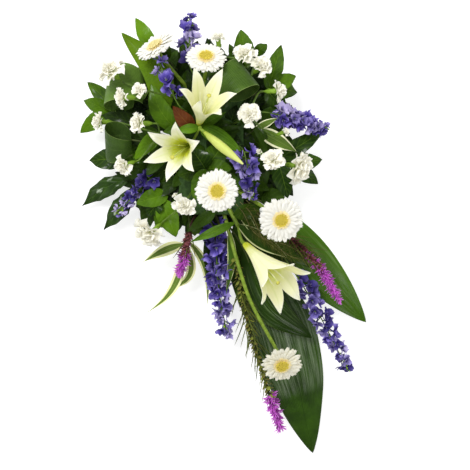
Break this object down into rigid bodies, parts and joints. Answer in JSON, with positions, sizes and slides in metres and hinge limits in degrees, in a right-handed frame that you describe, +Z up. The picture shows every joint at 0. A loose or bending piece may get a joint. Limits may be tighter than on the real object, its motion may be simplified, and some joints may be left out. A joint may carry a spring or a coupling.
{
  "type": "funeral flower arrangement",
  "caption": "Teardrop funeral spray of cut flowers and foliage in a low foam tray: a dense round head over the tray and a tail of long leaves and spikes.",
  "frame": {"origin": "middle of the tray's flat underside", "axes": "+Z up out of the foam, +Y along the spray from its tail to the top of its head, +X to the right seen from above"},
  "size_m": [0.453, 0.6907, 0.2134],
  "materials": {
    "tray": "satin",
    "foam": "matte",
    "aspidistra_leaf": "satin",
    "salal_leaf": "satin",
    "fatsia_leaf": "gloss",
    "variegated_leaf": "satin",
    "lily_leaf": "satin",
    "lily_petal": "matte",
    "lily_bud": "satin",
    "gerbera_ray": "matte",
    "gerbera_disc": "matte",
    "stem": "satin",
    "carnation_petal": "matte",
    "delphinium_petal": "matte",
    "liatris_bract": "matte",
    "liatris_thread": "matte"
  },
  "bodies": {
    "root": {"aspidistra_right": "aspidistra_leaf", "aspidistra_roll_left_lower": "aspidistra_leaf", "aspidistra_roll_left_upper": "aspidistra_leaf", "aspidistra_roll_right": "aspidistra_leaf", "aspidistra_tail": "aspidistra_leaf", "aspidistra_tail_upper": "aspidistra_leaf", "aspidistra_top_left": "aspidistra_leaf", "carnation_spray_bottom": "carnation_petal", "carnation_spray_left_lower": "carnation_petal", "carnation_spray_left_upper": "carnation_petal", "carnation_spray_right_lower": "carnation_petal", "carnation_spray_right_middle": "carnation_petal", "carnation_spray_right_upper": "carnation_petal", "delphinium_centre": "delphinium_petal", "delphinium_left": "delphinium_petal", "delphinium_right": "delphinium_petal", "delphinium_tail_left": "delphinium_petal", "delphinium_tail_right": "delphinium_petal", "delphinium_top": "delphinium_petal", "delphinium_upper_left": "delphinium_petal", "fatsia_leaf": "fatsia_leaf", "foam": "foam", "gerbera_centre_disc": "gerbera_disc", "gerbera_centre_rays": "gerbera_ray", "gerbera_centre_stem": "stem", "gerbera_right_disc": "gerbera_disc", "gerbera_right_rays": "gerbera_ray", "gerbera_right_stem": "stem", "gerbera_tail_disc": "gerbera_disc", "gerbera_tail_rays": "gerbera_ray", "gerbera_tail_stem": "stem", "gerbera_top_disc": "gerbera_disc", "gerbera_top_left_disc": "gerbera_disc", "gerbera_top_left_rays": "gerbera_ray", "gerbera_top_left_stem": "stem", "gerbera_top_rays": "gerbera_ray", "gerbera_top_stem": "stem", "liatris_left": "liatris_bract", "liatris_left_brush": "liatris_thread", "liatris_right": "liatris_bract", "liatris_right_brush": "liatris_thread", "liatris_tail": "liatris_bract", "liatris_tail_brush": "liatris_thread", "lily_bud": "lily_bud", "lily_left": "lily_petal", "lily_stem_head": "lily_leaf", "lily_stem_tail": "lily_leaf", "lily_tail": "lily_petal", "lily_upper": "lily_petal", "salal_centre": "salal_leaf", "salal_east": "salal_leaf", "salal_north": "salal_leaf", "salal_north_east": "salal_leaf", "salal_north_west": "salal_leaf", "salal_south_east": "salal_leaf", "salal_south_west": "salal_leaf", "salal_west": "salal_leaf", "tray": "tray", "variegated_left": "variegated_leaf", "variegated_right": "variegated_leaf"}
  },
  "joints": []
}
